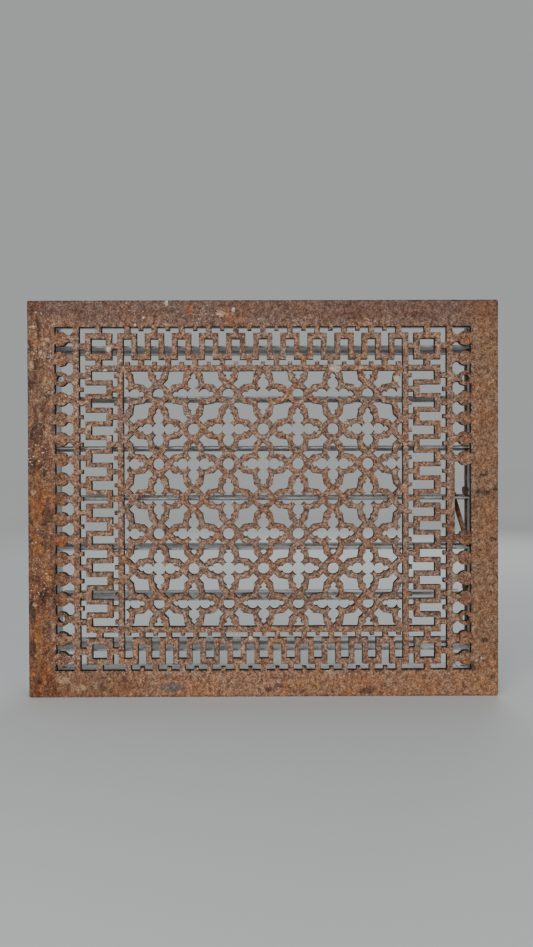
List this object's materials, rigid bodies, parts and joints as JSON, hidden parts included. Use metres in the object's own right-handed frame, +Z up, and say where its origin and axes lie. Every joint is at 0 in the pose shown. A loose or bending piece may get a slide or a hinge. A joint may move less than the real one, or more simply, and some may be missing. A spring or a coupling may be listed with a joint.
{
  "type": "louvred air register",
  "caption": "Fretted cast-iron wall register face over a sheet-metal valve box whose linked louvres are worked by a lever through a slot.",
  "frame": {"origin": "centre of the flange's back rim, the plane that seats on the wall, at the middle of the duct opening", "axes": "+Z up in the wall, +X to the right as seen from the room, +Y into the duct; the face is at y < 0"},
  "size_m": [0.768, 0.1229, 0.648],
  "materials": {
    "rusted_cast_iron": "reddish-brown rust, sandy and pitted, darker streaks on the left flange",
    "galvanised_box": "dull galvanised sheet with rust bloom at the edges",
    "galvanised_louvres": "dull galvanised sheet with faint spangle",
    "rod_steel": "dull steel wire, lightly rusted",
    "linkage_iron": "brown rusted iron",
    "fasteners": "dull steel, rusted in the slots"
  },
  "bodies": {
    "frame": {"face_grille": "rusted_cast_iron", "box_side_left": "galvanised_box", "box_side_right": "galvanised_box", "box_bottom": "galvanised_box", "box_top": "galvanised_box", "corner_angle_1": "galvanised_box", "corner_angle_2": "galvanised_box", "corner_angle_3": "galvanised_box", "corner_angle_4": "galvanised_box", "box_rivets": "fasteners", "lip_screws": "fasteners", "friction_spring": "rod_steel"},
    "louvre_1": {"louvre_blade_1": "galvanised_louvres", "pivot_rod_1": "rod_steel", "crank_1": "linkage_iron"},
    "louvre_2": {"louvre_blade_2": "galvanised_louvres", "pivot_rod_2": "rod_steel", "crank_2": "linkage_iron"},
    "louvre_3": {"louvre_blade_3": "galvanised_louvres", "pivot_rod_3": "rod_steel", "crank_3": "linkage_iron"},
    "louvre_4": {"louvre_blade_4": "galvanised_louvres", "pivot_rod_4": "rod_steel", "crank_4": "linkage_iron", "lever": "linkage_iron", "lever_pin": "fasteners", "lever_knob": "linkage_iron"},
    "louvre_5": {"louvre_blade_5": "galvanised_louvres", "pivot_rod_5": "rod_steel", "crank_5": "linkage_iron"},
    "louvre_6": {"louvre_blade_6": "galvanised_louvres", "pivot_rod_6": "rod_steel", "crank_6": "linkage_iron"},
    "louvre_7": {"louvre_blade_7": "galvanised_louvres", "pivot_rod_7": "rod_steel", "crank_7": "linkage_iron"},
    "tie_bar": {"tie_bar": "linkage_iron", "tie_bar_washers": "fasteners"}
  },
  "joints": [
    {"name": "louvre_1_turn", "type": "hinge", "parent": "frame", "child": "louvre_1", "pos_m": [0, 0.048, -0.2508], "axis": [-1, 0, 0], "range_deg": [0, 80]},
    {"name": "louvre_2_turn", "type": "hinge", "parent": "frame", "child": "louvre_2", "pos_m": [0, 0.048, -0.1672], "axis": [-1, 0, 0], "range_deg": [0, 80]},
    {"name": "louvre_3_turn", "type": "hinge", "parent": "frame", "child": "louvre_3", "pos_m": [0, 0.048, -0.0836], "axis": [-1, 0, 0], "range_deg": [0, 80]},
    {"name": "louvre_4_turn", "type": "hinge", "parent": "frame", "child": "louvre_4", "pos_m": [0, 0.048, 0], "axis": [-1, 0, 0], "range_deg": [0, 80]},
    {"name": "louvre_5_turn", "type": "hinge", "parent": "frame", "child": "louvre_5", "pos_m": [0, 0.048, 0.0836], "axis": [-1, 0, 0], "range_deg": [0, 80]},
    {"name": "louvre_6_turn", "type": "hinge", "parent": "frame", "child": "louvre_6", "pos_m": [0, 0.048, 0.1672], "axis": [-1, 0, 0], "range_deg": [0, 80]},
    {"name": "louvre_7_turn", "type": "hinge", "parent": "frame", "child": "louvre_7", "pos_m": [0, 0.048, 0.2508], "axis": [-1, 0, 0], "range_deg": [0, 80]},
    {"name": "tie_bar_pivot", "type": "hinge", "parent": "louvre_4", "child": "tie_bar", "pos_m": [0.3514, 0.06179, 0.01157], "axis": [-1, 0, 0], "range_deg": [-80, 0]}
  ],
  "couplings": [
    {"joint": "louvre_1_turn", "follows": "louvre_4_turn", "ratio": 1},
    {"joint": "louvre_2_turn", "follows": "louvre_4_turn", "ratio": 1},
    {"joint": "louvre_3_turn", "follows": "louvre_4_turn", "ratio": 1},
    {"joint": "louvre_5_turn", "follows": "louvre_4_turn", "ratio": 1},
    {"joint": "louvre_6_turn", "follows": "louvre_4_turn", "ratio": 1},
    {"joint": "louvre_7_turn", "follows": "louvre_4_turn", "ratio": 1},
    {"joint": "tie_bar_pivot", "follows": "louvre_4_turn", "ratio": -1}
  ]
}
